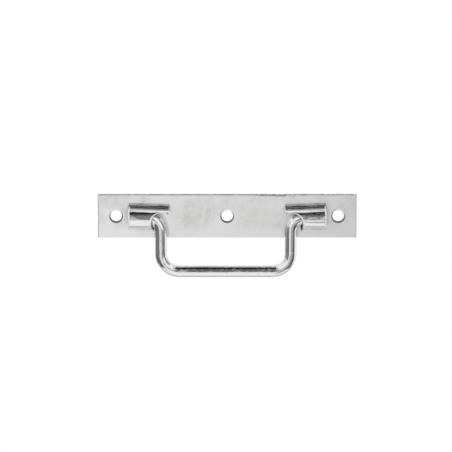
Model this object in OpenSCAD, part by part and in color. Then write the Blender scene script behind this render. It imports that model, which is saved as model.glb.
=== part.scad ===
// Plate handle: one stamped steel plate with two pressed bridges, and one bent wire bail.
// The plate stands upright. X runs along it, Z is up, and its front faces -Y.
// The origin is on the back face, at the axis of the middle screw hole.

/* [Plate] */
// Length of the plate
plate_l = 170; // [150:1:220]
// Height of the plate
plate_h = 29; // [26:0.5:45]
// Thickness of the sheet, in the flat and in the bridges
sheet_t = 2; // [1.5:0.1:3]
// Radius that the blanking left on the front edges
edge_r = 0.4; // [0.2:0.05:0.6]

/* [Screw holes] */
// Diameter of the three screw holes
hole_d = 7.5; // [5:0.1:9]
// Distance from an outer hole to its end of the plate
hole_margin = 12; // [9:0.5:16]
// Radius of the rolled rim on the front of each hole
hole_rim_r = 1; // [0.4:0.1:1.2]

/* [Bridges] */
// Distance from an outer hole to the near end of its bridge
hole_land = 8.2; // [7:0.1:12]
// Length of a bridge along the plate, with its tongue
bridge_l = 26.6; // [22:0.2:34]
// Height of the bridge axis above the hole line
bridge_z = -0.5; // [-2:0.1:2]
// Radius of the bend at the foot of a bridge, on its front
foot_r = 1.7; // [1:0.1:2.5]
// Radius of the curve where the lance turns under the tongue
lance_r = 5.5; // [3.5:0.1:5.5]
// Width of the slit that the lance leaves in the flat sheet
lance_gap = 0.2; // [0.1:0.1:1]

/* [Bail] */
// Diameter of the wire
wire_d = 8; // [6:0.1:9]
// Drop of the grip below the pivot axis, centre to centre
grip_drop = 35.6; // [30:0.2:70]
// Centreline radius of the bends beside the pivots
pivot_bend_r = 9; // [8:0.1:11]
// Centreline radius of the bends beside the grip
grip_bend_r = 12; // [8:0.1:16]
// Chamfer on the two ends of the wire
end_chamfer = 0.6; // [0.2:0.1:1]
// Distance by which the loose bail lies off the middle of the plate
bail_shift = -0.9; // [-1:0.1:1]

/* [Clearances] */
// Gap between the wire and the flat sheet behind it
back_gap = 0.3; // [0.2:0.1:0.6]
// Gap between the wire and the side walls of a bridge
side_gap = 0.8; // [0.6:0.1:1.2]
// Gap between the wire and the crest of a bridge
crest_gap = 2.3; // [2:0.1:3]
// Gap between the raised bail and the edge of the tongue above it
tongue_gap = 0.4; // [0.2:0.1:1]
// Gap between the wire's bend and the lanced end of a bridge wall
lance_clear = 0.6; // [0.4:0.1:1.5]
// Gap between an end of the wire and the outer end of its bridge
end_gap = 1.3; // [0.5:0.1:3]
// Length of tongue that reaches inwards past the middle of a leg
tongue_cover = 4.4; // [3:0.1:6]

/* [Hidden] */
$fn = 96;
over = 1;
// Depths are counted forwards from the back face, so they lie at -Y
wire_r = wire_d / 2;
bore_r = wire_r + side_gap;
shell_r = bore_r + sheet_t;
pivot_y = -(sheet_t + back_gap + wire_r);
crest_y = pivot_y - crest_gap + side_gap;
foot_y = -(sheet_t + foot_r);
foot_half = shell_r + foot_r;
// Places along the plate, worked inwards from its end
hole_x = plate_l / 2 - hole_margin;
bridge_end_x = hole_x - hole_land;
tongue_x = bridge_end_x - bridge_l;
leg_x = tongue_x + tongue_cover;
pivot_bend_x = leg_x + pivot_bend_r;
wire_end_x = bridge_end_x - end_gap - abs(bail_shift);
grip_bend_x = leg_x - grip_bend_r;
// The inside of the pivot bend leaves the bore this far inwards of the straight pivot
bend_in_bore = sqrt(pow(pivot_bend_r - wire_r, 2) - pow(pivot_bend_r - bore_r, 2));
lance_x = pivot_bend_x - bend_in_bore + abs(bail_shift) + lance_clear;
lance_z = bridge_z + wire_r + tongue_gap;

// Upright outline drawn in X and Z, given a depth from the back face forwards
module sheet(depth) {
    rotate([90, 0, 0])
        linear_extrude(depth)
            children();
}

// Section drawn in Y and Z, run along X from one place to another
module along_x(from, to) {
    translate([from, 0, 0])
        rotate([90, 0, 90])
            linear_extrude(to - from)
                children();
}

// Corner left outside a round of radius r, with its tip just past the origin
module round_corner(r) {
    difference() {
        translate([-r, -r])
            square(r + over);
        translate([-r, -r])
            circle(r);
    }
}

// Part of the strip that stays flat behind the legs, bounded by the lance
module lanced_field(edge_x, edge_z) {
    low_x = tongue_x - over;
    low_z = bridge_z - foot_half - over;
    difference() {
        translate([low_x, low_z])
            square([edge_x - low_x, edge_z - low_z]);
        translate([edge_x, edge_z])
            round_corner(lance_r);
    }
}

// Opening that the pressed strip leaves in the flat sheet
module strip_window() {
    difference() {
        translate([tongue_x, bridge_z - foot_half])
            square([bridge_l, 2 * foot_half]);
        lanced_field(lance_x - lance_gap, lance_z - lance_gap);
    }
}

// Half-round crest of radius r on walls that run back to the depth back_y
module arch(r, back_y) {
    translate([crest_y, 0])
        circle(r);
    translate([crest_y, -r])
        square([back_y - crest_y, 2 * r]);
}

// Both feet of the strip, rounded to radius r and reaching back to the depth back_y
module feet(r, back_y) {
    difference() {
        translate([foot_y, -foot_half])
            square([back_y - foot_y, 2 * foot_half]);
        for (side = [-1, 1])
            translate([foot_y, side * foot_half])
                circle(r);
    }
}

// Section of a bridge: sheet of one thickness from foot to foot over the crest
module bridge_section() {
    difference() {
        union() {
            arch(shell_r, 0);
            feet(foot_r, 0);
        }
        arch(bore_r, over);
        feet(foot_r + sheet_t, over);
    }
}

// Bridge on the right of the plate, lanced away where the leg comes out
module bridge() {
    difference() {
        along_x(tongue_x, bridge_end_x)
            translate([0, bridge_z])
                bridge_section();
        translate([0, over, 0])
            sheet(shell_r - crest_y + 2 * over)
                lanced_field(lance_x, lance_z);
    }
}

// Outline of the flat sheet with its two windows
module flat_outline() {
    difference() {
        square([plate_l, plate_h], center = true);
        strip_window();
        mirror([1, 0])
            strip_window();
    }
}

// Rounds along the four front edges of the plate
module edge_rounds() {
    for (turn = [0, 180])
        rotate([0, turn, 0]) {
            along_x(-plate_l / 2 - over, plate_l / 2 + over)
                translate([-sheet_t, plate_h / 2])
                    mirror([1, 0])
                        round_corner(edge_r);
            translate([plate_l / 2, -sheet_t, -plate_h / 2 - over])
                linear_extrude(plate_h + 2 * over)
                    mirror([0, 1])
                        round_corner(edge_r);
        }
}

// Screw hole through the sheet, with its rolled rim on the front
module screw_hole() {
    rim_x = hole_d / 2 + hole_rim_r;
    rotate([90, 0, 0]) {
        translate([0, 0, -over])
            cylinder(d = hole_d, h = sheet_t + 2 * over);
        translate([0, 0, sheet_t - hole_rim_r])
            rotate_extrude()
                difference() {
                    square([rim_x, hole_rim_r + over]);
                    translate([rim_x, 0])
                        circle(hole_rim_r);
                }
    }
}

module plate() {
    color("gainsboro")
        difference() {
            union() {
                sheet(sheet_t)
                    flat_outline();
                bridge();
                mirror([1, 0, 0])
                    bridge();
            }
            edge_rounds();
            for (side = [-1, 0, 1])
                translate([side * hole_x, 0, 0])
                    screw_hole();
        }
}

// Straight wire along X from one place to another
module wire_along(from, to) {
    translate([from, 0, 0])
        rotate([0, 90, 0])
            cylinder(r = wire_r, h = to - from);
}

// Quarter bend about a centre in X and Z, from the angle start onwards
module wire_bend(centre_x, centre_z, radius, start) {
    translate([centre_x, 0, centre_z])
        rotate([90, 0, 0])
            rotate([0, 0, start])
                rotate_extrude(angle = 90)
                    translate([radius, 0])
                        circle(wire_r);
}

// Right half of the bail, with the pivot axis through the origin
module half_bail() {
    leg_low_z = grip_bend_r - grip_drop;
    translate([0, 0, -grip_drop])
        wire_along(0, grip_bend_x);
    wire_bend(grip_bend_x, leg_low_z, grip_bend_r, -90);
    translate([leg_x, 0, leg_low_z])
        cylinder(r = wire_r, h = -pivot_bend_r - leg_low_z);
    wire_bend(pivot_bend_x, -pivot_bend_r, pivot_bend_r, 90);
    wire_along(pivot_bend_x, wire_end_x - end_chamfer);
    translate([wire_end_x - end_chamfer, 0, 0])
        rotate([0, 90, 0])
            cylinder(r1 = wire_r, r2 = wire_r - end_chamfer, h = end_chamfer);
}

module handle() {
    color("silver")
        translate([bail_shift, pivot_y, bridge_z]) {
            half_bail();
            mirror([1, 0, 0])
                half_bail();
        }
}

plate();
handle();
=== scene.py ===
"""Plate handle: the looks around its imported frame.

Shapes are worked out in millimetres, in the part's own frame, and turned to metres when their mesh is made.
X runs along the plate, Z is up, and the front faces -Y. Shades are linear, from 0 to 1.
"""
import math

import bmesh
import bpy
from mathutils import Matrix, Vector
from mathutils.geometry import delaunay_2d_cdt
from mathutils.kdtree import KDTree


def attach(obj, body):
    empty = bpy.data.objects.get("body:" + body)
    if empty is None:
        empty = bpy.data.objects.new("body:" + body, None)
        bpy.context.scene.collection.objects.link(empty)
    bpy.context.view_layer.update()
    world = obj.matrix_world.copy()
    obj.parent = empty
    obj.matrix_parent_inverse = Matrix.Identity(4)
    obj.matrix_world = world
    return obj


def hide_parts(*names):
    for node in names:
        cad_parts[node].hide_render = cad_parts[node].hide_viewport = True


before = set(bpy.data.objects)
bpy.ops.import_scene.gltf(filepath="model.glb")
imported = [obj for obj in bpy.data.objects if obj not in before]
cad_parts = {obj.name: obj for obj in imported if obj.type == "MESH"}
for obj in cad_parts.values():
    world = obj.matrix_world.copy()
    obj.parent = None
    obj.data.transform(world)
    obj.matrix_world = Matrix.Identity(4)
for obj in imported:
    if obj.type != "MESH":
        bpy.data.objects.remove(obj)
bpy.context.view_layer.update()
MM = 0.001

# The camera: the photo is 452 pixels wide, and the plate's 170 mm cover 258.1 of them
IMAGE_PX = 452
MM_PER_PX = 0.6587
PLATE_CENTRE_PX = (226.7, 215.0)
CAMERA_DISTANCE = 1.5
CAMERA_ELEVATION = math.radians(10)
CAMERA_CLIP = (0.05, 50)
SENSOR_MM = 36

# The floor lies below the part, in metres
FLOOR_Z = -0.62
FLOOR_SIZE = 12
FLOOR_TONE = 0.75

# Cards that the metal mirrors: azimuth to the right of the front, elevation, width and height in degrees,
# tones at the bottom and the top, distance in metres, and softness of the edges
CARDS = [
    ("flag_up", 0, 68, 34, 46, (0.02, 0.02), 3.0, 0.02),
    ("flag_shoulder", 0, 38, 32, 18, (0.18, 0.10), 2.9, 0.06),
    ("grey_column", 0, 16, 12, 60, (0.22, 0.08), 2.8, 0.04),
    ("flag_left", -75, -19, 100, 56, (0.06, 0.30), 0.7, 0.12),
    ("grey_right", 27, -26, 34, 44, (0.30, 0.30), 0.7, 0.06),
    ("flag_right", 61, -26, 32, 44, (0.05, 0.05), 0.7, 0.06),
    ("flag_rim", 65, 14, 26, 52, (0.05, 0.05), 0.75, 0.06),
    ("rim_left", -66, 12, 14, 46, (0.30, 0.30), 0.75, 0.15),
    ("bounce_low", 0, -107, 110, 54, (0.62, 0.62), 0.3, 0.06),
]

# Colours of the zinc: the flat sheet, the pressed bridges, cut edges and the wire
FLAT_DARK = (0.835, 0.835, 0.824)
FLAT_PALE = (0.99, 0.99, 0.99)
BACK_DARK = (0.60, 0.60, 0.59)
BACK_PALE = (0.72, 0.72, 0.71)
PRESSED = (0.82, 0.82, 0.82)
# Painted shade in the folds at a bridge's feet and over its upper wall
FOLD_SHADE = (0.45, 0.45, 0.44)
EDGE_DARK = (0.42, 0.42, 0.41)
EDGE_PALE = (0.82, 0.82, 0.82)
# Painted light and shade in the screw holes: pale at the top of their walls, dark at the bottom
HOLE_TOP_LIGHT = (0.95, 0.95, 0.94)
HOLE_BOTTOM_SHADE = (0.08, 0.08, 0.08)
# A painted highlight on the bottom edge
BOTTOM_EDGE_HIGHLIGHT = (0.97, 0.97, 0.97)
# The torn rims of the bridges, painted pale as a highlight over their grain
TORN_HIGHLIGHT = (0.95, 0.95, 0.945)
TORN_DARK = (0.70, 0.70, 0.69)
# Painted shade inside the bridges
INSIDE_SHADE_DARK = (0.30, 0.30, 0.295)
INSIDE_SHADE_PALE = (0.48, 0.48, 0.47)
WIRE_DARK = (0.78, 0.78, 0.775)
WIRE_PALE = (0.87, 0.87, 0.87)
WIRE_PIT = (0.42, 0.42, 0.41)
# Stains and paler places on the flat: centre in X and Z, half sizes, turn in degrees, strength and colour
STAINS = [
    ((-20, -2), (13, 11), 0, 0.5, (0.78, 0.78, 0.76)),
    ((21, -1), (16, 10), 0, 0.4, (0.80, 0.80, 0.78)),
    ((-15.6, -1), (1.3, 13), 11, 0.8, (0.99, 0.99, 0.98)),
    # The last two make the flat paler round the middle hole and along its bottom edge
    ((0, 0), (8, 8), 0, 0.6, (0.99, 0.99, 0.99)),
    ((0, -14), (130, 8), 0, 0.9, (0.99, 0.99, 0.99)),
]
# Painted shade in the corners between a leg and the lanced end of its bridge: centre in X and Z, half sizes
SHADED_CORNERS = [((-48.3, -7.2), (2.2, 3.6)), ((49.0, -7.2), (1.2, 3.8))]
CORNER_SHADE = (0.07, 0.07, 0.07)

# A stain is even up to this share of its half size, and goes right through the sheet
BLOB_CORE = 0.35
BLOB_DEPTH = 1000
# How its outline wanders: waves in a millimetre and detail, and how far
RAGGED = (0.16, 4.0)
RAGGED_MM = 4

# Grains of the plate's metal: waves in a millimetre, detail, and how X, Y and Z are stretched
ROLLED = (1.0, 3.0, (0.08, 1, 1.3))
TORN = (1.6, 4.0, (1, 0.25, 1))
# More of them, with the span of the grain that is drawn out to full contrast
CLOUD = (0.06, 4.0, (1, 1, 1), (0.35, 0.65))
FINE = (0.3, 6.0, (1, 1, 1), (0.38, 0.62))
SPECKS = (0.7, 3.0, (1, 1, 1), (0.60, 0.72))
STREAKS = (0.5, 4.0, (0.25, 1, 1), (0.4, 0.7))
PATCHES = (0.8, 4.0, (0.35, 1, 1.4), (0.47, 0.62))
FRAYED = (1.2, 4.0, (1, 1, 1), (0.40, 0.62))
INSIDE_MOTTLE = (0.5, 4.0, (1, 1, 1), (0.35, 0.65))
# The same for the wire, where X runs along it and Y around it
DRAWN = (1.0, 4.0, (0.06, 2.2, 1))
WAVES = (0.12, 2.0, (0.6, 1.6, 1))
RIPPLES = (0.7, 3.0, (0.7, 1.2, 1))
PITS = (1.3, 5.0, (0.6, 1.2, 1), (0.56, 0.70))
DULLED = (0.8, 4.0, (0.4, 1.0, 1), (0.48, 0.62))
DULLED_FAR = (0.03, 2.0, (1, 1, 1), (0.4, 0.6))
# Spans of the plain grains, where one draws a colour or a roughness
ROLLED_SPAN = (0.3, 0.7)
TORN_COLOUR_SPAN = (0.35, 0.65)
TORN_ROUGH_SPAN = (0.3, 0.7)
DRAWN_SPAN = (0.35, 0.7)
# How strongly a grain tells: in the pale of the flat, in the back's colour, and in the specks and the pits
FINE_SHARE = 0.6
BACK_CLOUD_SHARE = 0.6
BACK_FINE_SHARE = 0.25
SPECK_SHARE = 0.8
PIT_SHARE = 0.35
# What is left where the fine grain wears a stain or the painted fold shade thin, and where few of the
# wire's patches are dull
STAIN_LEFT = 0.6
FOLD_SHADE_LEFT = 0.7
DULLED_LEFT = 0.5

# Roughness at the two ends of a grain, or what a grain adds to it
FLAT_ROUGH = (0.40, 0.32)
ROLLED_ROUGH = 0.06
STREAK_ROUGH = (0.10, 0.24)
PATCH_ROUGH = 0.15
EDGE_ROUGH = (0.22, 0.40)
TORN_ROUGH = (0.5, 0.65)
TORN_METALLIC = 0.25
INSIDE_ROUGH = (0.55, 0.40)
WIRE_ROUGH = (0.03, 0.12)
PIT_ROUGH = 0.16
DULLED_ROUGH = 0.28
# Depth of the relief, the share of the fine grain in the sheet's, and what lies on the wire's slow waves
SHEET_RELIEF = 0.012
FINE_RELIEF = 0.6
EDGE_RELIEF = 0.02
TORN_RELIEF = 0.03
INSIDE_RELIEF = 0.02
WIRE_RELIEF = 0.11
DRAWN_RELIEF = 0.10
RIPPLE_RELIEF = 0.22
PIT_RELIEF = -0.07

# Depths between which the pressed zinc and the back's zinc begin
PRESSED_Y = (-2.02, -2.5)
BACK_Y = (-1.5, -0.5)
# Heights between which a bridge's dull patches, the painted shade in the holes and the painted highlight on
# the bottom edge begin
PATCHES_Z = (-3.5, -1.5)
HOLE_SHADE_Z = (4.2, -3.8)
BOTTOM_HIGHLIGHT_Z = (-13.9, -14.1)
# How far outside a hole its shade still holds, and where it ends
HOLE_NEAR = (0.5, 1.5)
# Painted shade at the feet of a bridge: heights where it starts, is full, thins and ends. It slants up to
# the tongue
UPPER_SHADE = (4.7, 5.3, 8.3, 8.6)
UPPER_SHADE_MORE = (7.0, 7.6)
UPPER_SHADE_SHARE = 0.8
UPPER_SHADE_SLANT = 0.3
LOWER_SHADE = (-7.2, -7.7, -8.7, -9.1)
LOWER_SHADE_SHARE = 0.8
# Along the bridge it begins this far outside its end, its tongue or its lance, and is full so far inside
FOLD_SHADE_OUT = 0.2
FOLD_SHADE_IN = 0.1

# The plate, as in the part's source
PLATE_L = 170
PLATE_H = 29
SHEET_T = 2
HOLE_R = 3.75
HOLE_XS = (-73, 0, 73)
BRIDGE_Z = -0.5
BRIDGE_END_X = 64.8
TONGUE_X = 38.2
CREST_Y = -7.8
BORE_R = 4.8
SHELL_R = 6.8
FOOT_R = 1.7
FOOT_HALF = 8.5
LANCE_X = 50.389
LANCE_Z = 3.9
LANCE_R = 5.5
LANCE_GAP = 0.2
# On the front of the sheet the lance lies further in and curves more gently, and most so on the right:
# its place and its radius, by side
LANCE_FRONT = {1: (49.2, 8.2), -1: (49.3, 6.8)}
# The tongue's tip droops, and the free tongue lets the top of the bridge sag, most on its front
TIP_DROOP = 1.8
TIP_DROOP_L = 3.2
SAG_FRONT = 0.9
SAG_BACK = 0.25

# Rounds that stamping left on its edges
FRONT_EDGE_R = 0.45
TOP_EDGE_R = 0.8
HOLE_RIM_R = 0.9
BRIDGE_END_R = 1.0
TONGUE_END_R = 0.18
LANCE_TOP_R = 0.7
LANCE_EDGE_R = 1.5
SLIT_END_R = 0.08
BACK_EDGE_R = 0.12
# On a bridge the round grows over these lengths, from the tongue's tip on and down the lanced end
TIP_GROW = 4
LANCE_GROW = 3
# There it is held to a share of the height over the sheet, and at the tip to a share of the way from it
DEPTH_SHARE = 0.6
TIP_R = 0.02
TIP_SHARE = 0.3
# Half the box round the end of a slit, in X and Z
SLIT_END_BOX = (0.3, 0.1)
# A mitre at a corner is no longer than this allows, and a fold sharper than the second has none
MITRE_LEAST = 0.8
FOLD_LEAST = 0.5
# Points within so many radii of a rounded edge move with it, by so many of its nearest points
PULL_REACH = 3
PULL_POINTS = 8
# Walls further in front of the sheet than this are torn ends of a bridge
TORN_FROM = 0.4
# The shear left a roll on part of the top edge, which deepens to the right and ends there at once
SHEAR_MARK_X = (16, 38.5)
SHEAR_MARK_R = 1.8

# The bail, as in the part's source
WIRE_R = 4
PIVOT_Y = -6.3
GRIP_DROP = 35.6
LEG_X = 42.6
PIVOT_BEND_R = 9
GRIP_BEND_R = 12
WIRE_END_X = 62.6
BAIL_SHIFT = -0.9
END_CHAMFER = 0.6
# Folds over this break its shading
SHARP_FOLD = math.radians(30)

# Steps in the meshes
FOOT_STEPS = 8
WALL_STEPS = 4
CREST_STEPS = 14
LANCE_STEPS = 14
BELOW_LANCE_STEPS = 18
TONGUE_COLS = 10
BRIDGE_COLS = 30
WINDOW_CURVE_STEPS = 12
WINDOW_STEP_MM = 1.2
LENGTH_STEPS = 170
HEIGHT_STEPS = 24
HOLE_STEPS = 64
FRONT_ROUND_STEPS = 5
BACK_ROUND_STEPS = 2
GRIP_STEPS = 6
BEND_STEPS = 24
LEG_STEPS = 6
PIVOT_STEPS = 4
AROUND_STEPS = 64
# Places closer than the first count as the same, and at a bridge's end those closer than the second.
# Points closer than the third are joined
NEAR = 0.01
END_NEAR = 0.1
JOIN_MM = 0.002
# What the triangulation of the flat sheet gives, here the faces inside its outlines, and its least distance
CDT_INSIDE = 1
CDT_NEAR = 1e-6
# Numbers of the plate's materials after its first, the sheet's
EDGE_SLOT, INSIDE_SHADE_SLOT, TORN_SLOT = 1, 2, 3


def steps(first, last, count):
    """Evenly spaced numbers, with both ends, in count steps."""
    return [first + (last - first) * i / count for i in range(count + 1)]


def new_object(name, verts, faces):
    """A smooth object in the scene from points in millimetres."""
    mesh = bpy.data.meshes.new(name)
    mesh.from_pydata([tuple(MM * c for c in v) for v in verts], [], faces)
    mesh.validate()
    mesh.polygons.foreach_set("use_smooth", [True] * len(mesh.polygons))
    obj = bpy.data.objects.new(name, mesh)
    bpy.context.scene.collection.objects.link(obj)
    return obj


def arch_point(radius, turn):
    """Depth and height of a point on the crest, from its turn above the horizontal."""
    return CREST_Y - radius * math.cos(turn), radius * math.sin(turn)


def foot_point(radius, side, turn):
    """Depth and height of a point on a foot's bend, from the flat at 0 to the wall at a quarter turn."""
    return radius * math.cos(turn) - SHEET_T - FOOT_R, side * (FOOT_HALF - radius * math.sin(turn))


def edge_z(x):
    """Height of the tongue's lower edge above the bridge axis."""
    near_tip = max(0.0, 1 - (x - TONGUE_X) / TIP_DROOP_L)
    return LANCE_Z - BRIDGE_Z - TIP_DROOP * near_tip ** 2


def section_rows(radius, foot_r, lance_x, lance_r):
    """Rows of one face of a bridge, from its upper foot down, and the number of the lance's corner row.

    Each row is a function that gives depth and height at a place x, and the x where the row starts.
    """
    quarter = math.pi / 2
    foot_y = -SHEET_T - FOOT_R
    top = LANCE_Z - BRIDGE_Z
    rows = []

    def fixed(point, near_x):
        rows.append((lambda x: point, near_x))

    def above_lance(part):
        def point(x):
            edge = math.asin(edge_z(x) / radius)
            return arch_point(radius, quarter + (edge - quarter) * part)
        rows.append((point, TONGUE_X))

    for turn in steps(0, quarter, FOOT_STEPS):
        fixed(foot_point(foot_r, 1, turn), TONGUE_X)
    for y in steps(foot_y, CREST_Y, WALL_STEPS)[1:-1]:
        fixed((y, radius), TONGUE_X)
    for part in steps(0, 1, CREST_STEPS):
        above_lance(part)
    corner = len(rows) - 1
    for swing in steps(0, quarter, LANCE_STEPS)[1:]:
        z = top - lance_r * (1 - math.cos(swing))
        fixed(arch_point(radius, math.asin(z / radius)), lance_x - lance_r * (1 - math.sin(swing)))
    for turn in steps(math.asin((top - lance_r) / radius), -quarter, BELOW_LANCE_STEPS)[1:]:
        fixed(arch_point(radius, turn), lance_x)
    for y in steps(CREST_Y, foot_y, WALL_STEPS)[1:-1]:
        fixed((y, -radius), lance_x)
    for turn in steps(quarter, 0, FOOT_STEPS):
        fixed(foot_point(foot_r, -1, turn), LANCE_X + (lance_x - LANCE_X) * math.sin(turn))
    return rows, corner


def sagged(x, point, radius, sag):
    """A point of the section, let down by its share of the sag at a place x."""
    y, z = point
    free = (BRIDGE_END_X - x) / (BRIDGE_END_X - TONGUE_X)
    low = LANCE_Z - BRIDGE_Z
    share = (z - low) / (radius - low) if z <= radius else (FOOT_HALF - z) / (FOOT_HALF - radius)
    return y, z - sag * free * max(0.0, share)


class Sheet:
    """A sheet as points on its front with their partners on its back, and the faces between them."""

    def __init__(self):
        self.front = []
        self.back = []
        self.faces = []

    def point(self, front, back):
        """Adds a pair of points, and gives its number."""
        self.front.append(Vector(front))
        self.back.append(Vector(back))
        return len(self.front) - 1


def bridge_lines(side, radius, foot_r, lance_x, lance_r, sag):
    """Lines of points along one face of a bridge, with None where the lance took the tongue's columns."""
    rows, corner = section_rows(radius, foot_r, lance_x, lance_r)
    joint_x = lance_x - lance_r
    lines = []
    for r, (place, near_x) in enumerate(rows):
        if r <= corner:
            across = steps(TONGUE_X, joint_x, TONGUE_COLS)[:-1] + steps(joint_x, BRIDGE_END_X, BRIDGE_COLS)
        else:
            across = [None] * TONGUE_COLS + steps(near_x, BRIDGE_END_X, BRIDGE_COLS)
        lines.append([x if x is None else (side * x, *sagged(x, place(x), radius, sag)) for x in across])
    return lines


def add_bridge(sheet, side):
    """The pressed strip on one side of the plate. Gives the point numbers of its two foot lines."""
    front_lines = bridge_lines(side, SHELL_R, FOOT_R, *LANCE_FRONT[side], SAG_FRONT)
    back_lines = bridge_lines(side, BORE_R, FOOT_R + SHEET_T, LANCE_X, LANCE_R, SAG_BACK)
    numbers = []
    for front_line, back_line in zip(front_lines, back_lines):
        line = {}
        for c, (front, back) in enumerate(zip(front_line, back_line)):
            if front:
                line[c] = sheet.point(*((x, y, BRIDGE_Z + z) for x, y, z in (front, back)))
        numbers.append(line)
    for above, below in zip(numbers, numbers[1:]):
        for c in below:
            if c + 1 in below:
                quad = [above[c], below[c], below[c + 1], above[c + 1]]
                sheet.faces.append(quad if side > 0 else quad[::-1])
    return list(numbers[0].values()), list(numbers[-1].values())


def in_pieces(points):
    """The points of an open outline, with more between them so that no piece is long."""
    result = []
    for (x0, z0), (x1, z1) in zip(points, points[1:]):
        count = math.ceil(math.hypot(x1 - x0, z1 - z0) / WINDOW_STEP_MM)
        result += [(x0 + (x1 - x0) * i / count, z0 + (z1 - z0) * i / count) for i in range(count)]
    return result + [points[-1]]


def window_outline(side, upper_foot, lower_foot, sheet):
    """Point numbers round one window in the flat sheet, with the bridge's own foot lines in it."""
    edge_x, edge_z = LANCE_X - LANCE_GAP, LANCE_Z - LANCE_GAP
    low, high = BRIDGE_Z - FOOT_HALF, BRIDGE_Z + FOOT_HALF
    field = [(edge_x, low)]
    for turn in steps(0, math.pi / 2, WINDOW_CURVE_STEPS):
        x = edge_x - LANCE_R * (1 - math.cos(turn))
        field.append((x, edge_z - LANCE_R * (1 - math.sin(turn))))
    field = in_pieces(field + [(TONGUE_X, edge_z), (TONGUE_X, high)])[:-1]
    end = in_pieces([(BRIDGE_END_X, high), (BRIDGE_END_X, low)])[1:-1]
    field, end = ([sheet.point((side * x, -SHEET_T, z), (side * x, 0, z)) for x, z in part]
                  for part in (field, end))
    return upper_foot + end + lower_foot[::-1] + field


def outer_outline(sheet):
    """Point numbers round the plate."""
    half_l, half_h = PLATE_L / 2, PLATE_H / 2
    corners = [(-half_l, -half_h), (half_l, -half_h), (half_l, half_h), (-half_l, half_h)]
    outline = []
    for (x0, z0), (x1, z1) in zip(corners, corners[1:] + corners[:1]):
        count = LENGTH_STEPS if z0 == z1 else HEIGHT_STEPS
        for i in range(count):
            x, z = x0 + (x1 - x0) * i / count, z0 + (z1 - z0) * i / count
            outline.append(sheet.point((x, -SHEET_T, z), (x, 0, z)))
    return outline


def hole_outline(sheet, hole_x):
    """Point numbers round a screw hole."""
    ring = []
    for turn in steps(0, 2 * math.pi, HOLE_STEPS)[:-1]:
        x, z = hole_x + HOLE_R * math.cos(turn), HOLE_R * math.sin(turn)
        ring.append(sheet.point((x, -SHEET_T, z), (x, 0, z)))
    return ring


def add_flat(sheet, windows):
    """The flat sheet round its windows and holes. Loops run counter-clockwise, as the triangles need."""
    loops = [outer_outline(sheet)] + windows + [hole_outline(sheet, hole_x) for hole_x in HOLE_XS]
    numbers = [n for loop in loops for n in loop]
    flat = [Vector((sheet.front[n].x, sheet.front[n].z)) for n in numbers]
    places, start = [], 0
    for loop in loops:
        ring = list(range(start, start + len(loop)))
        turned = sum(flat[a].cross(flat[b]) for a, b in zip(ring, ring[1:] + ring[:1]))
        places.append(ring if turned > 0 else ring[::-1])
        start += len(loop)
    _, _, faces, given_points, _, given_loops = delaunay_2d_cdt(flat, [], places, CDT_INSIDE, CDT_NEAR)
    # What lies inside the outline only, and in no window or hole, is sheet
    for face, inside in zip(faces, given_loops):
        if inside == [0]:
            sheet.faces.append([numbers[given_points[i][0]] for i in face])


def edge_loops(faces):
    """Open edges of the faces, chained to loops that run as the faces do."""
    # A dict keeps its order, so that each run gives the same loops
    seen = {}
    for face in faces:
        for a, b in zip(face, face[1:] + face[:1]):
            seen[(a, b)] = True
    after = {a: b for a, b in seen if (b, a) not in seen}
    loops = []
    while after:
        start, here = after.popitem()
        loop = [start]
        while here != start:
            loop.append(here)
            here = after.pop(here)
        loops.append(loop)
    return loops


def edge_radius(point):
    """Radius of the front edge at a point, by the part of the plate that it belongs to."""
    x, depth = abs(point.x), -point.y - SHEET_T
    if any(math.hypot(point.x - at, point.z) < HOLE_RIM_R + HOLE_R for at in HOLE_XS):
        return HOLE_RIM_R
    if depth > NEAR:
        return bridge_edge_radius(x, point.z, depth)
    box_x, box_z = SLIT_END_BOX
    if abs(x - LANCE_X) < box_x and abs(point.z - BRIDGE_Z + FOOT_HALF) < box_z:
        return SLIT_END_R
    if point.z < PLATE_H / 2 - NEAR:
        return FRONT_EDGE_R
    first, last = SHEAR_MARK_X
    if point.x < first or point.x > last:
        return TOP_EDGE_R
    return TOP_EDGE_R + (SHEAR_MARK_R - TOP_EDGE_R) * (point.x - first) / (last - first)


def bridge_edge_radius(x, z, depth):
    """Radius of the front edge of a bridge: sharp at the tongue's tip, and softest on the lanced end."""
    past_tip = min(1.0, (x - TONGUE_X) / TIP_GROW)
    fallen = min(1.0, max(0.0, (LANCE_Z - z) / LANCE_GROW))
    full = TONGUE_END_R + (LANCE_TOP_R - TONGUE_END_R) * past_tip + (LANCE_EDGE_R - LANCE_TOP_R) * fallen
    if x > BRIDGE_END_X - END_NEAR:
        full = BRIDGE_END_R
    from_tip = math.hypot(x - TONGUE_X, z - (LANCE_Z - TIP_DROOP))
    return min(full, SLIT_END_R + DEPTH_SHARE * depth, TIP_R + TIP_SHARE * from_tip)


def front_normals(sheet):
    """Directions out of the front at its points."""
    normals = [Vector() for _ in sheet.front]
    for face in sheet.faces:
        a, b, c = (sheet.front[n] for n in face[:3])
        turn = (b - a).cross(c - a)
        for n in face:
            normals[n] += turn
    return [n.normalized() for n in normals]


def outward(points, normals, index):
    """Direction in the surface that points out over its edge, longer at a corner."""
    here, before, after = points[index], points[index - 1], points[(index + 1) % len(points)]
    sides = [(run.cross(normals[index])).normalized() for run in (here - before, after - here)]
    total = sides[0] + sides[1]
    if total.length < FOLD_LEAST:
        return Vector((0, 0, 0))
    return total / max(1 + sides[0].dot(sides[1]), MITRE_LEAST)


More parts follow.
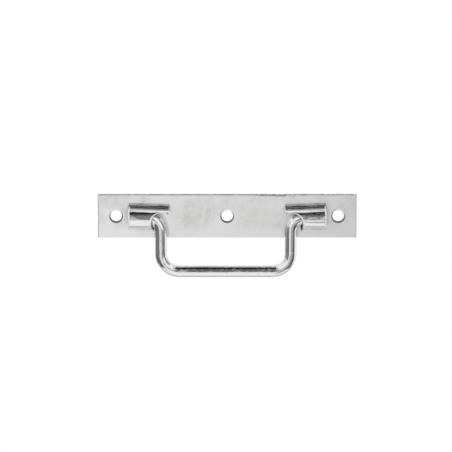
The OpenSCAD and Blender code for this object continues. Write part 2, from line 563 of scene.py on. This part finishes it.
def on_bridge(point, was):
    """A moved point of a bridge, brought back to the distance from its axis that it had."""
    if was.y > -SHEET_T - NEAR:
        return point
    if max(point.y, was.y) > CREST_Y:
        return Vector((point.x, point.y, was.z))
    before = math.hypot(was.y - CREST_Y, was.z - BRIDGE_Z)
    now = math.hypot(point.y - CREST_Y, point.z - BRIDGE_Z)
    scale = before / now
    return Vector((point.x, CREST_Y + (point.y - CREST_Y) * scale, BRIDGE_Z + (point.z - BRIDGE_Z) * scale))


def round_steps(tip, along, inwards, count):
    """Points on a soft round that replaces a sharp edge at tip."""
    a, c = tip + along, tip + inwards
    result = []
    for t in steps(0, 1, count):
        result.append(a * (1 - t) ** 2 + tip * (2 * t * (1 - t)) + c * t ** 2)
    return result


def round_edges(sheet, front, back):
    """Moves the front and back points at open edges inwards, and gives each edge's points between them."""
    normals = front_normals(sheet)
    strips, moved = [], []
    for loop in edge_loops(sheet.faces):
        tips = [sheet.front[n] for n in loop]
        ends = [sheet.back[n] for n in loop]
        facing = [normals[n] for n in loop]
        lines = []
        for i, n in enumerate(loop):
            out = outward(tips, facing, i)
            into = (ends[i] - tips[i]).normalized()
            r = edge_radius(tips[i])
            share = min(1.0, out.length)
            inset = on_bridge(tips[i] - out * r, tips[i]) - tips[i]
            first = round_steps(tips[i], inset, into * (r * share), FRONT_ROUND_STEPS)
            last = round_steps(ends[i], -out * BACK_EDGE_R, -into * (BACK_EDGE_R * share), BACK_ROUND_STEPS)
            last.reverse()
            moved.append((n, first[0] - tips[i], r))
            front[n], back[n] = first[0], last[-1]
            lines.append(first[1:] + last[:-1])
        strips.append((loop, lines))
    pull_along(sheet.front, front, moved)
    return strips


def add_walls(strips, count, verts, faces):
    """Faces across the edges, from each front point to the back point whose number is higher by count."""
    for loop, lines in strips:
        numbers = []
        for n, line in zip(loop, lines):
            numbers.append([n] + list(range(len(verts), len(verts) + len(line))) + [n + count])
            verts += line
        for a, b in zip(numbers, numbers[1:] + numbers[:1]):
            for k in range(len(a) - 1):
                faces.append([a[k], a[k + 1], b[k + 1], b[k]])


def solid_sheet(name, sheet):
    """The sheet as one closed mesh, with the numbers of its materials by place."""
    front = [p.copy() for p in sheet.front]
    back = [p.copy() for p in sheet.back]
    strips = round_edges(sheet, front, back)
    count = len(front)
    verts = front + back
    faces = [list(f) for f in sheet.faces]
    faces += [[n + count for n in reversed(f)] for f in sheet.faces]
    walls_from = len(faces)
    add_walls(strips, count, verts, faces)
    obj = new_object(name, verts, faces)
    for polygon in obj.data.polygons[walls_from:]:
        torn = polygon.center.y < -MM * (SHEET_T + TORN_FROM)
        polygon.material_index = TORN_SLOT if torn else EDGE_SLOT
    for polygon in obj.data.polygons[len(sheet.faces):walls_from]:
        # The faces inside the bridges take the painted shade
        if polygon.center.y < -MM * SHEET_T:
            polygon.material_index = INSIDE_SHADE_SLOT
    join_doubles(obj.data)
    shade_by_area(obj.data)
    return obj


def join_doubles(mesh):
    """Joins points that lie on each other, so that no face is empty."""
    shape = bmesh.new()
    shape.from_mesh(mesh)
    bmesh.ops.remove_doubles(shape, verts=shape.verts, dist=JOIN_MM * MM)
    shape.to_mesh(mesh)
    shape.free()


def pull_along(old, new, moved):
    """Moves the front of the bridges near a rounded edge with it, so that no face folds over."""
    raised = [(n, shift, r) for n, shift, r in moved if old[n].y < -SHEET_T - NEAR]
    tree = KDTree(len(raised))
    for i, (n, _, _) in enumerate(raised):
        tree.insert(old[n], i)
    tree.balance()
    on_edge = {n for n, _, _ in moved}
    for n, point in enumerate(old):
        if n in on_edge or point.y > -SHEET_T - NEAR:
            continue
        shares = []
        for _, i, away in tree.find_n(point, PULL_POINTS):
            _, shift, r = raised[i]
            shares.append((max(0.0, 1 - away / (PULL_REACH * r)), shift))
        total = sum(share for share, _ in shares)
        if total > 0:
            pull = sum((shift * share for share, shift in shares), Vector()) / total
            new[n] = on_bridge(point + pull * max(share for share, _ in shares), point)


def shade_by_area(mesh):
    """Vertex normals weighted by area, so that large flat faces stay flat up to their rounded edges."""
    normals = [Vector() for _ in mesh.vertices]
    for polygon in mesh.polygons:
        for n in polygon.vertices:
            normals[n] += polygon.normal * polygon.area
    mesh.normals_split_custom_set_from_vertices([n.normalized() for n in normals])


def make_plate():
    """The stamped plate with its two bridges, in place of its plain solid."""
    sheet = Sheet()
    windows = []
    for side in (1, -1):
        upper, lower = add_bridge(sheet, side)
        windows.append(window_outline(side, upper, lower, sheet))
    add_flat(sheet, windows)
    plate = solid_sheet("pressed_plate", sheet)
    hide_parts("plate")
    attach(plate, "plate")
    return plate


def bail_path():
    """Centreline of the bail from the middle of the grip to its right end, in X and Z from the pivots."""
    quarter = math.pi / 2
    low_z = GRIP_BEND_R - GRIP_DROP
    grip_x = LEG_X - GRIP_BEND_R
    pivot_x = LEG_X + PIVOT_BEND_R
    path = [(x, -GRIP_DROP) for x in steps(0, grip_x, GRIP_STEPS)]
    path += [(grip_x + GRIP_BEND_R * math.sin(a), low_z - GRIP_BEND_R * math.cos(a))
             for a in steps(0, quarter, BEND_STEPS)[1:]]
    path += [(LEG_X, z) for z in steps(low_z, -PIVOT_BEND_R, LEG_STEPS)[1:]]
    path += [(pivot_x - PIVOT_BEND_R * math.cos(a), PIVOT_BEND_R * math.sin(a) - PIVOT_BEND_R)
             for a in steps(0, quarter, BEND_STEPS)[1:]]
    path += [(x, 0) for x in steps(pivot_x, WIRE_END_X - END_CHAMFER, PIVOT_STEPS)[1:]]
    return path


def bail_rings():
    """Rings of the bail from left to right: place in X and Z, direction of the wire there, and radius."""
    right = bail_path()
    path = [(-x, z) for x, z in reversed(right[1:])] + right
    rings = [(-WIRE_END_X, 0, 1, 0, WIRE_R - END_CHAMFER)]
    for i, (x, z) in enumerate(path):
        before, after = path[max(i - 1, 0)], path[min(i + 1, len(path) - 1)]
        dx, dz = after[0] - before[0], after[1] - before[1]
        length = math.hypot(dx, dz)
        rings.append((x, z, dx / length, dz / length, WIRE_R))
    rings.append((WIRE_END_X, 0, 1, 0, WIRE_R - END_CHAMFER))
    return rings


def make_bail():
    """The bent wire as one smooth tube with chamfered ends, in place of its plain solid."""
    around = AROUND_STEPS
    rings = bail_rings()
    verts, faces, laid = [], [], []
    run = 0
    for i, (x, z, dx, dz, r) in enumerate(rings):
        if i:
            run += math.hypot(x - rings[i - 1][0], z - rings[i - 1][1]) + abs(r - rings[i - 1][4])
        laid.append(run)
        for k in range(around):
            turn = 2 * math.pi * k / around
            up, forth = r * math.cos(turn), -r * math.sin(turn)
            verts.append((x - dz * up + BAIL_SHIFT, PIVOT_Y + forth, z + dx * up + BRIDGE_Z))
    for i in range(len(rings) - 1):
        for k in range(around):
            n = (k + 1) % around
            a, b = i * around, (i + 1) * around
            faces.append([a + k, a + n, b + n, b + k])
    last = (len(rings) - 1) * around
    faces += [list(range(around))[::-1], list(range(last, last + around))]
    bail = new_object("bent_bail", verts, faces)
    add_wire_map(bail.data, laid, around)
    bail.data.set_sharp_from_angle(angle=SHARP_FOLD)
    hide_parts("handle")
    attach(bail, "handle")
    return bail


def add_wire_map(mesh, laid, around):
    """A map in millimetres: along the wire and around it, and plainly across its two end faces."""
    layer = mesh.uv_layers.new(name="wire")
    girth = 2 * math.pi * WIRE_R
    for polygon in mesh.polygons:
        corners = [mesh.loops[i].vertex_index for i in polygon.loop_indices]
        rings = [n // around for n in corners]
        columns = [n % around for n in corners]
        on_end = len(corners) > 4
        wraps = around - 1 in columns and 0 in columns
        for i, n, ring, column in zip(polygon.loop_indices, corners, rings, columns):
            column = around if wraps and column == 0 else column
            spot = mesh.vertices[n].co / MM
            layer.data[i].uv = (spot.y, spot.z) if on_end else (laid[ring], girth * column / around)


def node_tree(owner):
    """The emptied node tree of a material or a world."""
    owner.use_nodes = True
    owner.node_tree.nodes.clear()
    return owner.node_tree


def new_material(name):
    """A material, with its tree and the node that takes its surface."""
    material = bpy.data.materials.new(name)
    tree = node_tree(material)
    return material, tree, add(tree, "ShaderNodeOutputMaterial")


def add(tree, kind, **values):
    """A node with its properties and the default values of its sockets set."""
    node = tree.nodes.new(kind)
    for name, value in values.items():
        if name in node.inputs:
            node.inputs[name].default_value = value
        else:
            setattr(node, name, value)
    return node


def feed(tree, value, socket):
    """Links a socket's value, or sets a plain number."""
    if isinstance(value, (int, float)):
        socket.default_value = value
    else:
        tree.links.new(value, socket)


def math_node(tree, operation, a, b=0.0):
    """The result of one sum on two values."""
    node = add(tree, "ShaderNodeMath", operation=operation)
    feed(tree, a, node.inputs[0])
    feed(tree, b, node.inputs[1])
    return node.outputs[0]


def remap(tree, value, low, high, out_low=0, out_high=1):
    """A value moved softly from one span to another, and held at its ends."""
    node = add(tree, "ShaderNodeMapRange", interpolation_type="SMOOTHSTEP")
    feed(tree, value, node.inputs[0])
    for socket, number in zip(node.inputs[1:5], (low, high, out_low, out_high)):
        socket.default_value = number
    return node.outputs[0]


def mix_colour(tree, factor, a, b):
    """A colour between two, each given as numbers or as a socket."""
    node = add(tree, "ShaderNodeMix", data_type="RGBA")
    feed(tree, factor, node.inputs[0])
    for colour, socket in ((a, node.inputs[6]), (b, node.inputs[7])):
        if isinstance(colour, tuple):
            socket.default_value = (*colour, 1)
        else:
            tree.links.new(colour, socket)
    return node.outputs[2]


def mix_shader(tree, factor, a, b):
    """A shader between two."""
    node = add(tree, "ShaderNodeMixShader")
    tree.links.new(factor, node.inputs[0])
    tree.links.new(a.outputs[0], node.inputs[1])
    tree.links.new(b.outputs[0], node.inputs[2])
    return node


def separate(tree, coords):
    """The three parts of a place."""
    split = add(tree, "ShaderNodeSeparateXYZ")
    tree.links.new(coords, split.inputs[0])
    return split


def aim(obj, target):
    """Turns an object so that its local -Z points at the target."""
    direction = Vector(target) - obj.location
    obj.rotation_euler = direction.to_track_quat("-Z", "Y").to_euler()


def make_camera():
    """A long lens at the photo's angle: ten degrees above the plate."""
    px = MM_PER_PX * MM
    centre = (IMAGE_PX - 1) / 2
    right = (PLATE_CENTRE_PX[0] - centre) * px
    down = (centre - PLATE_CENTRE_PX[1]) * px
    target = Vector((-right, 0, -down / math.cos(CAMERA_ELEVATION)))
    back = Vector((0, -math.cos(CAMERA_ELEVATION), math.sin(CAMERA_ELEVATION)))
    data = bpy.data.cameras.new("camera")
    data.sensor_width = SENSOR_MM
    data.lens = SENSOR_MM * CAMERA_DISTANCE / (IMAGE_PX * px)
    data.clip_start, data.clip_end = CAMERA_CLIP
    camera = bpy.data.objects.new("camera", data)
    camera.location = target + back * CAMERA_DISTANCE
    bpy.context.scene.collection.objects.link(camera)
    aim(camera, target)
    bpy.context.scene.camera = camera


def make_world():
    """Plain white light from all round, which the camera and the metal also see."""
    world = bpy.data.worlds.new("studio")
    bpy.context.scene.world = world
    tree = node_tree(world)
    out = add(tree, "ShaderNodeOutputWorld")
    light = add(tree, "ShaderNodeBackground", Color=(1, 1, 1, 1), Strength=1.0)
    tree.links.new(light.outputs[0], out.inputs["Surface"])


def panel(name, half_w, half_h, material):
    """A rectangle about its own origin, with its normal along its own Z."""
    mesh = bpy.data.meshes.new(name)
    corners = [(-half_w, -half_h, 0), (half_w, -half_h, 0), (half_w, half_h, 0), (-half_w, half_h, 0)]
    mesh.from_pydata(corners, [], [(0, 1, 2, 3)])
    mesh.materials.append(material)
    obj = bpy.data.objects.new(name, mesh)
    bpy.context.scene.collection.objects.link(obj)
    return obj


def make_floor():
    """A plain pale floor, which the camera and the metal see as white apart from the object's shadow.

    It is clear from below, so that a view from there shows the object.
    """
    material, tree, out = new_material("pale_floor")
    paint = add(tree, "ShaderNodeBsdfDiffuse", Color=(FLOOR_TONE, FLOOR_TONE, FLOOR_TONE, 1))
    lift = add(tree, "ShaderNodeEmission", Color=(1, 1, 1, 1))
    path = add(tree, "ShaderNodeLightPath")
    seen = math_node(tree, "MAXIMUM", path.outputs["Is Camera Ray"], path.outputs["Is Glossy Ray"])
    strength = math_node(tree, "MULTIPLY", seen, 1 - FLOOR_TONE)
    tree.links.new(strength, lift.inputs["Strength"])
    both = add(tree, "ShaderNodeAddShader")
    tree.links.new(paint.outputs[0], both.inputs[0])
    tree.links.new(lift.outputs[0], both.inputs[1])
    side = add(tree, "ShaderNodeNewGeometry")
    clear = add(tree, "ShaderNodeBsdfTransparent")
    blend = mix_shader(tree, side.outputs["Backfacing"], both, clear)
    tree.links.new(blend.outputs[0], out.inputs["Surface"])
    floor = panel("floor", FLOOR_SIZE / 2, FLOOR_SIZE / 2, material)
    floor.location.z = FLOOR_Z


def card_material(name, tones, feather):
    """Plain light between two tones, from bottom to top, clear towards its edges."""
    material, tree, out = new_material(name)
    spot = add(tree, "ShaderNodeTexCoord")
    split = separate(tree, spot.outputs["Generated"])
    # Folded at the middle, the places count inwards from both edges
    inward = [math_node(tree, "PINGPONG", split.outputs[axis], 0.5) for axis in "XY"]
    mask = remap(tree, math_node(tree, "MINIMUM", *inward), 0, feather)
    glow = add(tree, "ShaderNodeEmission", Strength=1.0)
    low, high = tones
    if low == high:
        glow.inputs["Color"].default_value = (low, low, low, 1)
    else:
        shade = mix_colour(tree, split.outputs["Y"], (low, low, low), (high, high, high))
        tree.links.new(shade, glow.inputs["Color"])
    clear = add(tree, "ShaderNodeBsdfTransparent")
    blend = mix_shader(tree, mask, clear, glow)
    tree.links.new(blend.outputs[0], out.inputs["Surface"])
    return material


def card(name, azimuth, elevation, wide, high, tones, distance, feather):
    """A soft-edged card that only the metal sees. Angles in degrees, tones at its bottom and its top."""
    az, el = math.radians(azimuth), math.radians(elevation)
    half_w = distance * math.tan(math.radians(wide / 2))
    half_h = distance * math.tan(math.radians(high / 2))
    obj = panel(name, half_w, half_h, card_material(name, tones, feather))
    level = math.cos(el)
    obj.location = distance * Vector((math.sin(az) * level, -math.cos(az) * level, math.sin(el)))
    aim(obj, (0, 0, 0))
    obj.visible_camera = False
    obj.visible_diffuse = False
    obj.visible_shadow = False
    obj.visible_transmission = False


def noise(tree, coords, waves, detail, stretch):
    """Plain grain with a given number of waves in a millimetre."""
    place = add(tree, "ShaderNodeMapping")
    place.inputs["Scale"].default_value = stretch
    tree.links.new(coords, place.inputs["Vector"])
    node = add(tree, "ShaderNodeTexNoise", Scale=waves, Detail=detail)
    tree.links.new(place.outputs[0], node.inputs["Vector"])
    return node.outputs["Fac"]


def grain(tree, coords, kind, low=0, high=1):
    """Grain drawn out to full contrast, between two numbers."""
    waves, detail, stretch, span = kind
    return remap(tree, noise(tree, coords, waves, detail, stretch), *span, low, high)


def in_mm(tree):
    """Places on the part, in millimetres."""
    spot = add(tree, "ShaderNodeTexCoord")
    place = add(tree, "ShaderNodeMapping")
    place.inputs["Scale"].default_value = (1 / MM, 1 / MM, 1 / MM)
    tree.links.new(spot.outputs["Object"], place.inputs["Vector"])
    return place.outputs[0]


def blob(tree, coords, centre, radii, turn=0.0):
    """1 in the middle of a soft patch on the face of the plate, 0 outside it, in X and Z."""
    move = add(tree, "ShaderNodeMapping", vector_type="TEXTURE")
    move.inputs["Location"].default_value = (centre[0], 0, centre[1])
    move.inputs["Rotation"].default_value = (0, math.radians(turn), 0)
    move.inputs["Scale"].default_value = (radii[0], BLOB_DEPTH, radii[1])
    tree.links.new(coords, move.inputs["Vector"])
    size = add(tree, "ShaderNodeVectorMath", operation="LENGTH")
    tree.links.new(move.outputs[0], size.inputs[0])
    return remap(tree, size.outputs["Value"], BLOB_CORE, 1.0, 1, 0)


def ragged_coords(tree, coords):
    """Places moved about a little, so that patches drawn with them have uneven outlines."""
    waves, detail = RAGGED
    wander = add(tree, "ShaderNodeTexNoise", Scale=waves, Detail=detail)
    tree.links.new(coords, wander.inputs["Vector"])
    centred = add(tree, "ShaderNodeVectorMath", operation="SUBTRACT")
    tree.links.new(wander.outputs["Color"], centred.inputs[0])
    centred.inputs[1].default_value = (0.5, 0.5, 0.5)
    moved = add(tree, "ShaderNodeVectorMath", operation="MULTIPLY_ADD")
    tree.links.new(centred.outputs[0], moved.inputs[0])
    moved.inputs[1].default_value = (RAGGED_MM, RAGGED_MM, RAGGED_MM)
    tree.links.new(coords, moved.inputs[2])
    return moved.outputs[0]


def bump(tree, height, depth_mm, shader):
    """Relief of a given depth on a shader."""
    node = add(tree, "ShaderNodeBump", Strength=1.0, Distance=depth_mm * MM)
    tree.links.new(height, node.inputs["Height"])
    tree.links.new(node.outputs[0], shader.inputs["Normal"])


def metal(name, metallic=1.0):
    """A metal, with its tree and its shader."""
    material, tree, out = new_material(name)
    shader = add(tree, "ShaderNodeBsdfPrincipled", Metallic=metallic)
    tree.links.new(shader.outputs[0], out.inputs["Surface"])
    return material, tree, shader


def zinc_sheet():
    """Dull, cloudy zinc on the flat of the sheet, stretched to a shine over the bridges."""
    material, tree, shader = metal("zinc_sheet")
    coords = in_mm(tree)
    split = separate(tree, coords)
    pressed = remap(tree, split.outputs["Y"], *PRESSED_Y)
    cloud = grain(tree, coords, CLOUD)
    fine = grain(tree, coords, FINE)
    rolled = noise(tree, coords, *ROLLED)
    colour = sheet_colour(tree, coords, split, pressed, cloud, fine)
    tree.links.new(colour, shader.inputs["Base Color"])
    rough = add(tree, "ShaderNodeMix")
    feed(tree, pressed, rough.inputs[0])
    dull = remap(tree, cloud, 0, 1, *FLAT_ROUGH)
    dull = math_node(tree, "ADD", dull, remap(tree, rolled, *ROLLED_SPAN, 0, ROLLED_ROUGH))
    feed(tree, dull, rough.inputs[2])
    feed(tree, pressed_roughness(tree, coords, split), rough.inputs[3])
    tree.links.new(rough.outputs[0], shader.inputs["Roughness"])
    relief = math_node(tree, "ADD", math_node(tree, "MULTIPLY", fine, FINE_RELIEF), rolled)
    bump(tree, relief, SHEET_RELIEF, shader)
    return material


def sheet_colour(tree, coords, split, pressed, cloud, fine):
    """Colour of the sheet by depth: the bridges in front with painted shade in their folds, the flat, and
    the back.
    """
    colour = stained_flat(tree, coords, cloud, fine)
    colour = mix_colour(tree, pressed, colour, PRESSED)
    colour = mix_colour(tree, painted_fold_shade(tree, split, fine), colour, FOLD_SHADE)
    uneven = math_node(tree, "ADD", math_node(tree, "MULTIPLY", cloud, BACK_CLOUD_SHARE),
                       math_node(tree, "MULTIPLY", fine, BACK_FINE_SHARE))
    back = mix_colour(tree, uneven, BACK_DARK, BACK_PALE)
    return mix_colour(tree, remap(tree, split.outputs["Y"], *BACK_Y), colour, back)


def stained_flat(tree, coords, cloud, fine):
    """Colour of the flat sheet: clouds and grain, with its stains, specks and painted shade in the corners
    by the legs.
    """
    colour = mix_colour(tree, cloud, FLAT_DARK, FLAT_PALE)
    colour = mix_colour(tree, math_node(tree, "MULTIPLY", fine, FINE_SHARE), colour, FLAT_PALE)
    ragged = ragged_coords(tree, coords)
    for centre, radii, turn, strength, stain in STAINS:
        patch = math_node(tree, "MULTIPLY", blob(tree, ragged, centre, radii, turn), strength)
        worn = math_node(tree, "MULTIPLY", patch, remap(tree, fine, 0, 1, 1, STAIN_LEFT))
        colour = mix_colour(tree, worn, colour, stain)
    colour = mix_colour(tree, grain(tree, coords, SPECKS, 0, SPECK_SHARE), colour, FLAT_PALE)
    # Painted shade in the corners between the legs and the lanced ends of the bridges
    for centre, radii in SHADED_CORNERS:
        colour = mix_colour(tree, blob(tree, coords, centre, radii), colour, CORNER_SHADE)
    return colour


def pressed_roughness(tree, coords, split):
    """Shiny streaks along a bridge, with duller patches above its lower wall."""
    streaks = grain(tree, coords, STREAKS, *STREAK_ROUGH)
    above = remap(tree, split.outputs["Z"], *PATCHES_Z)
    patches = math_node(tree, "MULTIPLY", grain(tree, coords, PATCHES, 0, PATCH_ROUGH), above)
    return math_node(tree, "ADD", streaks, patches)


def painted_fold_shade(tree, split, fine):
    """Painted shade over a bridge's upper wall and upper foot, and in the fold at its lower foot."""
    across = math_node(tree, "ABSOLUTE", split.outputs["X"])
    ends = remap(tree, across, BRIDGE_END_X - FOLD_SHADE_IN, BRIDGE_END_X + FOLD_SHADE_OUT, 1, 0)
    upper = math_node(tree, "MULTIPLY", upper_fold_shade(tree, split.outputs["Z"], across),
                      remap(tree, across, TONGUE_X - FOLD_SHADE_OUT, TONGUE_X + FOLD_SHADE_IN))
    lower = math_node(tree, "MULTIPLY", lower_fold_shade(tree, split.outputs["Z"]),
                      remap(tree, across, LANCE_X - FOLD_SHADE_OUT, LANCE_X + FOLD_SHADE_IN))
    shaded_folds = math_node(tree, "MULTIPLY", math_node(tree, "MAXIMUM", upper, lower), ends)
    return math_node(tree, "MULTIPLY", shaded_folds, remap(tree, fine, 0, 1, 1, FOLD_SHADE_LEFT))


def upper_fold_shade(tree, height, across):
    """The painted shade at the upper foot by height, which thins along a slanted line."""
    start, full, thins, gone = UPPER_SHADE
    slant = remap(tree, across, TONGUE_X, BRIDGE_END_X, UPPER_SHADE_SLANT, -UPPER_SHADE_SLANT)
    slanted = math_node(tree, "ADD", height, slant)
    fold_shade = math_node(tree, "ADD", remap(tree, height, start, full, 0, UPPER_SHADE_SHARE),
                     remap(tree, height, *UPPER_SHADE_MORE, 0, 1 - UPPER_SHADE_SHARE))
    return math_node(tree, "MULTIPLY", fold_shade, remap(tree, slanted, thins, gone, 1, 0))


def lower_fold_shade(tree, height):
    """The painted shade at the lower foot by height."""
    start, full, thins, gone = LOWER_SHADE
    fold_shade = remap(tree, height, start, full, 0, LOWER_SHADE_SHARE)
    return math_node(tree, "MULTIPLY", fold_shade, remap(tree, height, thins, gone, 1, 0))


def near_hole(tree, split):
    """1 at the three screw holes, 0 elsewhere."""
    across = math_node(tree, "ABSOLUTE", split.outputs["X"])
    outer = math_node(tree, "ABSOLUTE", math_node(tree, "SUBTRACT", across, HOLE_XS[2]))
    nearest = math_node(tree, "MINIMUM", across, outer)
    away = math_node(tree, "ADD", math_node(tree, "POWER", nearest, 2.0),
                     math_node(tree, "POWER", math_node(tree, "ABSOLUTE", split.outputs["Z"]), 2.0))
    full, gone = ((HOLE_R + wide) ** 2 for wide in HOLE_NEAR)
    return remap(tree, away, full, gone, 1, 0)


def zinc_edge():
    """The sheared edges: a torn grain across the sheet, with painted light and shade in the holes and a
    painted highlight on the bottom edge.
    """
    material, tree, shader = metal("zinc_cut_edge")
    coords = in_mm(tree)
    split = separate(tree, coords)
    torn = noise(tree, coords, *TORN)
    colour = mix_colour(tree, remap(tree, torn, *TORN_COLOUR_SPAN), EDGE_DARK, EDGE_PALE)
    # Painted light and shade in the holes: pale at the top of the wall, dark at its bottom
    low = remap(tree, split.outputs["Z"], *HOLE_SHADE_Z)
    colour = mix_colour(tree, near_hole(tree, split), colour, mix_colour(tree, low, HOLE_TOP_LIGHT, HOLE_BOTTOM_SHADE))
    # A painted highlight on the bottom edge
    below = remap(tree, split.outputs["Z"], *BOTTOM_HIGHLIGHT_Z)
    colour = mix_colour(tree, below, colour, BOTTOM_EDGE_HIGHLIGHT)
    tree.links.new(colour, shader.inputs["Base Color"])
    tree.links.new(remap(tree, torn, *TORN_ROUGH_SPAN, *EDGE_ROUGH), shader.inputs["Roughness"])
    bump(tree, torn, EDGE_RELIEF, shader)
    return material


def grained(name, kind, colours, rough, relief, metallic=1.0):
    """A metal of two colours and two roughnesses, drawn by one grain."""
    material, tree, shader = metal(name, metallic)
    share = grain(tree, in_mm(tree), kind)
    tree.links.new(mix_colour(tree, share, *colours), shader.inputs["Base Color"])
    tree.links.new(remap(tree, share, 0, 1, *rough), shader.inputs["Roughness"])
    bump(tree, share, relief, shader)
    return material


def zinc_inside_shade():
    """Painted shade inside the bridges: dark, mottled zinc."""
    colours = INSIDE_SHADE_DARK, INSIDE_SHADE_PALE
    return grained("zinc_inside_shade", INSIDE_MOTTLE, colours, INSIDE_ROUGH, INSIDE_RELIEF)


def torn_rim_highlight():
    """The frayed rims where the press tore the bridges free: rough enough to scatter light, and painted
    pale as a highlight.
    """
    colours = TORN_HIGHLIGHT, TORN_DARK
    return grained("zinc_torn_rim_highlight", FRAYED, colours, TORN_ROUGH, TORN_RELIEF, TORN_METALLIC)


def zinc_wire():
    """Bright drawn wire, with lines along it, small pits, duller patches and slow waves from bending."""
    material, tree, shader = metal("zinc_wire")
    coords = add(tree, "ShaderNodeUVMap", uv_map="wire").outputs[0]
    drawn = noise(tree, coords, *DRAWN)
    worn = grain(tree, coords, PITS)
    colour = mix_colour(tree, drawn, WIRE_DARK, WIRE_PALE)
    colour = mix_colour(tree, math_node(tree, "MULTIPLY", worn, PIT_SHARE), colour, WIRE_PIT)
    tree.links.new(colour, shader.inputs["Base Color"])
    gloss = remap(tree, drawn, *DRAWN_SPAN, *WIRE_ROUGH)
    rough = math_node(tree, "ADD", gloss, math_node(tree, "MULTIPLY", worn, PIT_ROUGH))
    dull = grain(tree, coords, DULLED, 0, DULLED_ROUGH)
    some = grain(tree, coords, DULLED_FAR, DULLED_LEFT, 1)
    rough = math_node(tree, "ADD", rough, math_node(tree, "MULTIPLY", dull, some))
    tree.links.new(rough, shader.inputs["Roughness"])
    relief = noise(tree, coords, *WAVES)
    ripples = noise(tree, coords, *RIPPLES)
    for height, share in ((drawn, DRAWN_RELIEF), (ripples, RIPPLE_RELIEF), (worn, PIT_RELIEF)):
        relief = math_node(tree, "ADD", relief, math_node(tree, "MULTIPLY", height, share))
    bump(tree, relief, WIRE_RELIEF, shader)
    return material


bpy.context.scene.view_settings.view_transform = "Standard"
make_camera()
make_world()
make_floor()
for details in CARDS:
    card(*details)
plate = make_plate()
for material in (zinc_sheet(), zinc_edge(), zinc_inside_shade(), torn_rim_highlight()):
    plate.data.materials.append(material)
bail = make_bail()
bail.data.materials.append(zinc_wire())
